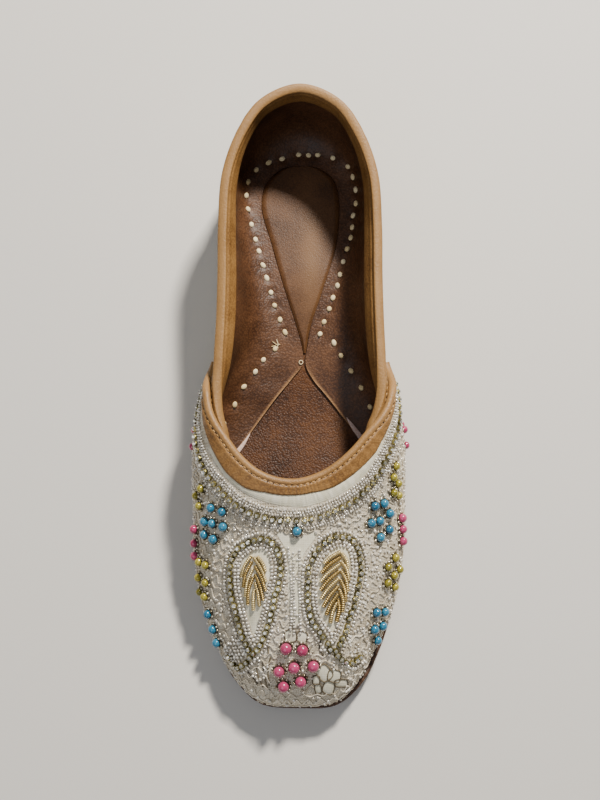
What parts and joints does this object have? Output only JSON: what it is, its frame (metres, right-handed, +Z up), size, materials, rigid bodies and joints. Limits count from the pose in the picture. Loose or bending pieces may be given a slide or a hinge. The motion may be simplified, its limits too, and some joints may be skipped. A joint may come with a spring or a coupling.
{
  "type": "mojari shoe",
  "caption": "Flat slip-on leather shoe with a beaded front, an open U-shaped throat, a folded leather edge and a low heel lift.",
  "frame": {"origin": "on the floor under the middle of the shoe's bounding box", "axes": "+Z up from the floor the shoe stands on, toe towards -Y, heel towards +Y, X across the shoe"},
  "size_m": [0.0868, 0.25, 0.0561],
  "materials": {
    "sole_leather": "waxed dark brown vegetable-tanned sole leather",
    "heel_leather": "stacked dark brown sole leather, edges waxed",
    "insole_leather": "glossy pebble-grained brown lining leather",
    "quarter_cloth": "cream woven ground with silver thread",
    "vamp_cloth": "cream satin ground, beaded all over",
    "binding_leather": "soft tan leather, folded and top-stitched"
  },
  "bodies": {
    "root": {"outsole": "sole_leather", "heel": "heel_leather", "insole": "insole_leather", "upper": "quarter_cloth", "vamp": "vamp_cloth", "collar_binding": "binding_leather", "throat_binding": "binding_leather"}
  },
  "joints": []
}
